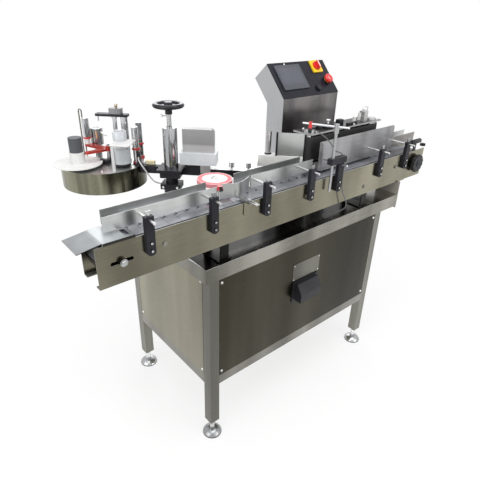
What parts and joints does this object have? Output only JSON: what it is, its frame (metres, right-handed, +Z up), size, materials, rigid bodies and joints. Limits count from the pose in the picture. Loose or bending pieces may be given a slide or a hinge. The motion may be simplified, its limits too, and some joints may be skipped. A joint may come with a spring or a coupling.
{
  "type": "bottle labelling machine",
  "caption": "Bottle labelling machine: slat conveyor on a steel cabinet, divider wheel, wrap belt station, tilted control console and a label head on a handwheel lift.",
  "frame": {"origin": "on the floor, at the middle of the four levelling feet", "axes": "+X along the conveyor towards the outfeed, +Y to the rear of the machine, +Z up"},
  "size_m": [1.557, 0.7306, 1.2557],
  "materials": {
    "stainless_tube": "brushed",
    "stainless_sheet": "brushed",
    "bright_screw": "bright",
    "black_plastic": "matte",
    "black_foot": "matte",
    "grey_paint": "satin",
    "chain_steel": "polished by use",
    "black_anodised": "black anodised",
    "black_rubber": "matte",
    "black_gloss": "gloss",
    "screen_grey": "satin with a glossy screen",
    "yellow_plastic": "satin",
    "red_plastic": "gloss",
    "grey_cable": "matte",
    "white_plastic": "satin",
    "chrome": "polished",
    "olive_steel": "dark brushed",
    "red_anodised": "red anodised"
  },
  "bodies": {
    "machine": {"corner_legs": "stainless_tube", "frame_rails": "stainless_tube", "table_top": "stainless_sheet", "front_panel": "stainless_sheet", "cabinet_panels": "stainless_sheet", "panel_screws": "bright_screw", "pull_handle": "black_plastic", "badge_plate": "stainless_sheet", "levelling_feet": "black_foot", "electrics_plate": "grey_paint", "side_plates": "stainless_sheet", "shaft_bearings": "bright_screw", "cross_spacers": "bright_screw", "wear_strips": "black_plastic", "slat_chain": "chain_steel", "dead_plate": "stainless_sheet", "conveyor_stands": "stainless_sheet", "motors": "grey_paint", "guide_posts": "black_anodised", "post_screws": "bright_screw", "rear_rails": "stainless_sheet", "wrap_frame": "stainless_sheet", "wrap_belt": "black_rubber", "console_shell": "stainless_sheet", "console_face": "black_gloss", "touch_screen": "screen_grey", "switch_plate": "yellow_plastic", "lift_base": "black_anodised", "bottle_sensor": "red_plastic", "sensor_stand": "bright_screw", "sensor_lead": "grey_cable"},
    "chain_drive": {"drive_shaft": "bright_screw", "hand_knob": "black_plastic"},
    "chain_idler": {"idler_shaft": "bright_screw"},
    "infeed_guide": {"infeed_rail": "stainless_sheet"},
    "mid_guide": {"mid_rail": "stainless_sheet"},
    "curved_lane_guide": {"curved_guide": "stainless_sheet"},
    "presser": {"pressure_plate": "stainless_sheet"},
    "outfeed_guide": {"outfeed_rail": "stainless_sheet"},
    "divider": {"divider_wheel": "white_plastic"},
    "wrap_drive": {"wrap_drive_roller": "bright_screw"},
    "wrap_idler": {"wrap_idler_roller": "bright_screw"},
    "label_head": {"carriage": "chrome", "head_beam": "black_anodised", "head_drum": "olive_steel", "head_fittings": "black_anodised", "peel_unit": "stainless_sheet", "coder_box": "stainless_sheet", "head_lead": "grey_cable"},
    "lift_wheel": {"handwheel": "chrome"},
    "reel": {"label_reel": "white_plastic"},
    "web_drive": {"drive_roller": "white_plastic"},
    "near_roller": {"guide_roller_near": "chrome"},
    "far_roller": {"guide_roller_far": "chrome"},
    "peel_end_roller": {"peel_roller": "chrome"},
    "dancer": {"dancer_arm": "red_anodised"},
    "dancer_end": {"dancer_roller": "chrome"},
    "switch": {"switch_knob": "red_plastic"},
    "stop": {"stop_button": "red_plastic"},
    "start": {"start_button": "black_plastic"}
  },
  "joints": [
    {"name": "chain_drive_spin", "type": "hinge", "parent": "machine", "child": "chain_drive", "pos_m": [0.66, -0.199, 0.85722], "axis": [0, 1, 0], "continuous": true},
    {"name": "chain_idler_spin", "type": "hinge", "parent": "machine", "child": "chain_idler", "pos_m": [-0.7116, -0.199, 0.85722], "axis": [0, 1, 0], "continuous": true},
    {"name": "infeed_rail_slide", "type": "slide", "parent": "machine", "child": "infeed_guide", "axis": [0, 1, 0], "range_m": [-0.035, 0.03]},
    {"name": "mid_rail_slide", "type": "slide", "parent": "machine", "child": "mid_guide", "axis": [0, 1, 0], "range_m": [-0.035, 0.03]},
    {"name": "curved_guide_slide", "type": "slide", "parent": "machine", "child": "curved_lane_guide", "axis": [0, 1, 0], "range_m": [-0.015, 0.015]},
    {"name": "pressure_plate_slide", "type": "slide", "parent": "machine", "child": "presser", "axis": [0, 1, 0], "range_m": [-0.028, 0.02]},
    {"name": "outfeed_rail_slide", "type": "slide", "parent": "machine", "child": "outfeed_guide", "axis": [0, 1, 0], "range_m": [-0.03, 0.03]},
    {"name": "divider_wheel_spin", "type": "hinge", "parent": "machine", "child": "divider", "pos_m": [-0.322, -0.12, 0.952], "axis": [0, 0, 1], "continuous": true},
    {"name": "wrap_drive_roller_spin", "type": "hinge", "parent": "machine", "child": "wrap_drive", "pos_m": [0.48, -0.1177, 0.984], "axis": [0, 0, 1], "continuous": true},
    {"name": "wrap_idler_roller_spin", "type": "hinge", "parent": "machine", "child": "wrap_idler", "pos_m": [0.107, -0.1177, 0.984], "axis": [0, 0, 1], "continuous": true},
    {"name": "head_lift_slide", "type": "slide", "parent": "machine", "child": "label_head", "axis": [0, 0, 1], "range_m": [0, 0.06]},
    {"name": "handwheel_turn", "type": "hinge", "parent": "label_head", "child": "lift_wheel", "pos_m": [-0.36, 0.072, 1.15], "axis": [0, 0, 1], "range_deg": [0, 5400]},
    {"name": "label_reel_spin", "type": "hinge", "parent": "label_head", "child": "reel", "pos_m": [-0.59702, 0.283, 0.96], "axis": [0, 0, 1], "continuous": true},
    {"name": "drive_roller_spin", "type": "hinge", "parent": "label_head", "child": "web_drive", "pos_m": [-0.47455, 0.20352, 0.98], "axis": [0, 0, 1], "continuous": true},
    {"name": "guide_roller_near_spin", "type": "hinge", "parent": "label_head", "child": "near_roller", "pos_m": [-0.42223, 0.19645, 1], "axis": [0, 0, 1], "continuous": true},
    {"name": "guide_roller_far_spin", "type": "hinge", "parent": "label_head", "child": "far_roller", "pos_m": [-0.37909, 0.24807, 1], "axis": [0, 0, 1], "continuous": true},
    {"name": "peel_roller_spin", "type": "hinge", "parent": "label_head", "child": "peel_end_roller", "pos_m": [-0.00857, -0.02912, 1], "axis": [0, 0, 1], "continuous": true},
    {"name": "dancer_swing", "type": "hinge", "parent": "label_head", "child": "dancer", "pos_m": [-0.49294, 0.2615, 0.99], "axis": [0, 0, 1], "range_deg": [0, 20], "stiffness_Nm_per_rad": 0.5, "springref_deg": -20.05},
    {"name": "dancer_roller_spin", "type": "hinge", "parent": "dancer", "child": "dancer_end", "pos_m": [-0.52688, 0.35343, 1.04], "axis": [0, 0, 1], "continuous": true},
    {"name": "switch_turn", "type": "hinge", "parent": "machine", "child": "switch", "pos_m": [0.356, 0.10179, 1.22452], "axis": [0, -0.742, 0.6704], "range_deg": [0, 90]},
    {"name": "stop_press", "type": "slide", "parent": "machine", "child": "stop", "axis": [0, 0.742, -0.6704], "range_m": [0, 0.006]},
    {"name": "start_press", "type": "slide", "parent": "machine", "child": "start", "axis": [0, 0.742, -0.6704], "range_m": [0, 0.003], "stiffness_N_per_m": 400, "springref_m": -0.004}
  ],
  "couplings": [
    {"joint": "chain_idler_spin", "follows": "chain_drive_spin", "ratio": 1},
    {"joint": "wrap_idler_roller_spin", "follows": "wrap_drive_roller_spin", "ratio": 1},
    {"joint": "handwheel_turn", "follows": "head_lift_slide", "rad_per_m": 1570.8}
  ]
}
